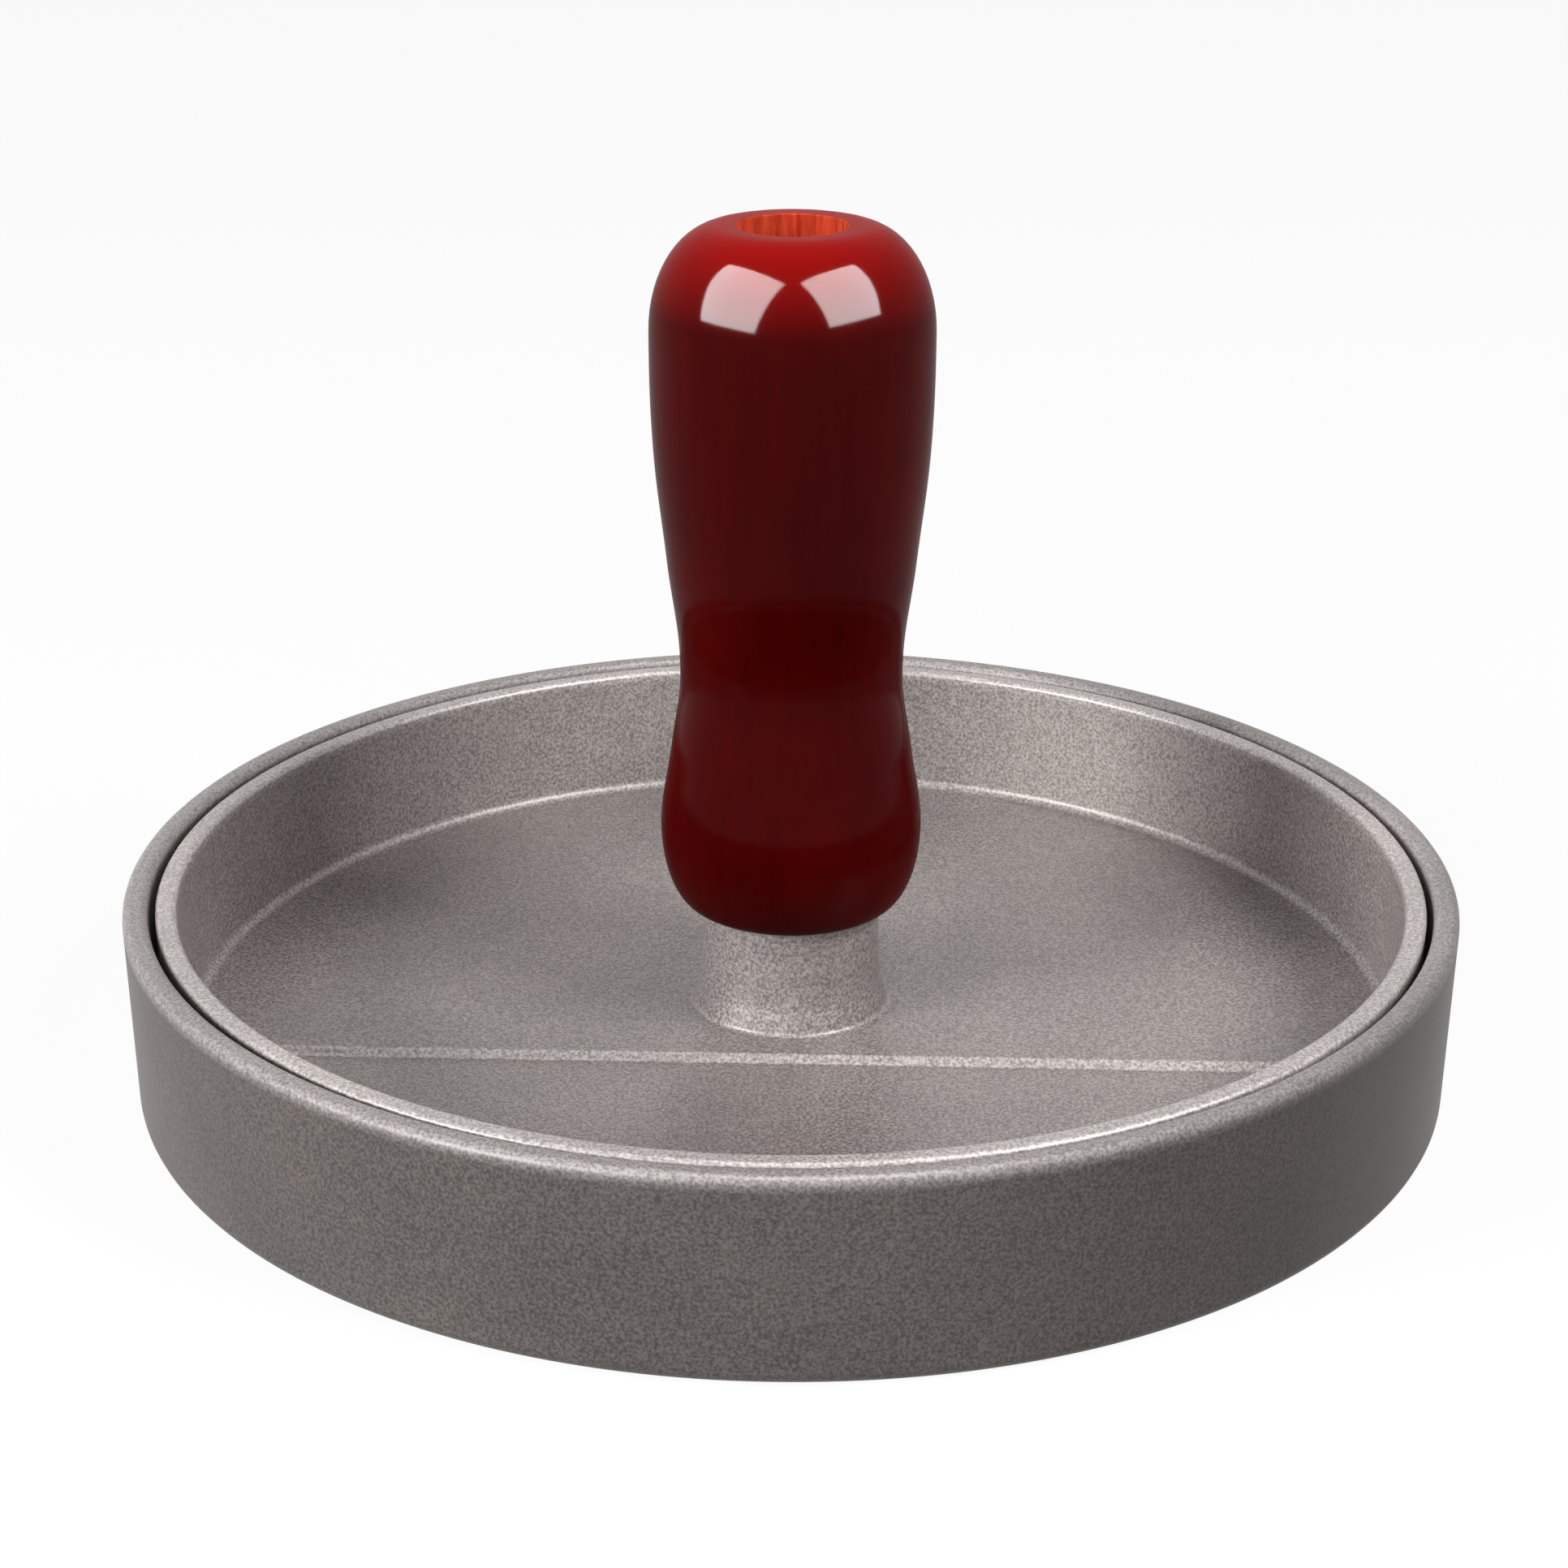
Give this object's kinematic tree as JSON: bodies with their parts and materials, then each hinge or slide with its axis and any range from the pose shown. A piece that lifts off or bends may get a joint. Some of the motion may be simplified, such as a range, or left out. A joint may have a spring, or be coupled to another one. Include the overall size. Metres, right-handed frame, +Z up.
{
  "type": "meat press",
  "caption": "Round cast dish with a drop-in press plate and an upright turned wooden handle, for shaping meat patties.",
  "frame": {"origin": "centre of the dish's underside, on the table", "axes": "+Z up along the handle; -Y is the front, where the plate's floor steps down; +X is to the right seen from the front"},
  "size_m": [0.12, 0.12, 0.0771],
  "materials": {
    "cast_dish": "matt blasted casting",
    "cast_plate": "matt blasted casting",
    "lacquered_wood": "deep glossy red lacquer",
    "screw_steel": "bright zinc plating",
    "washer_steel": "bright zinc plating"
  },
  "bodies": {
    "dish": {"mould_dish": "cast_dish"},
    "press": {"press_plate": "cast_plate", "handle_grip": "lacquered_wood", "handle_screw": "screw_steel", "flat_washer": "washer_steel", "spring_washer": "washer_steel"}
  },
  "joints": [
    {"name": "press_lift", "type": "slide", "parent": "dish", "child": "press", "axis": [0, 0, 1], "range_m": [0, 0.06]}
  ]
}
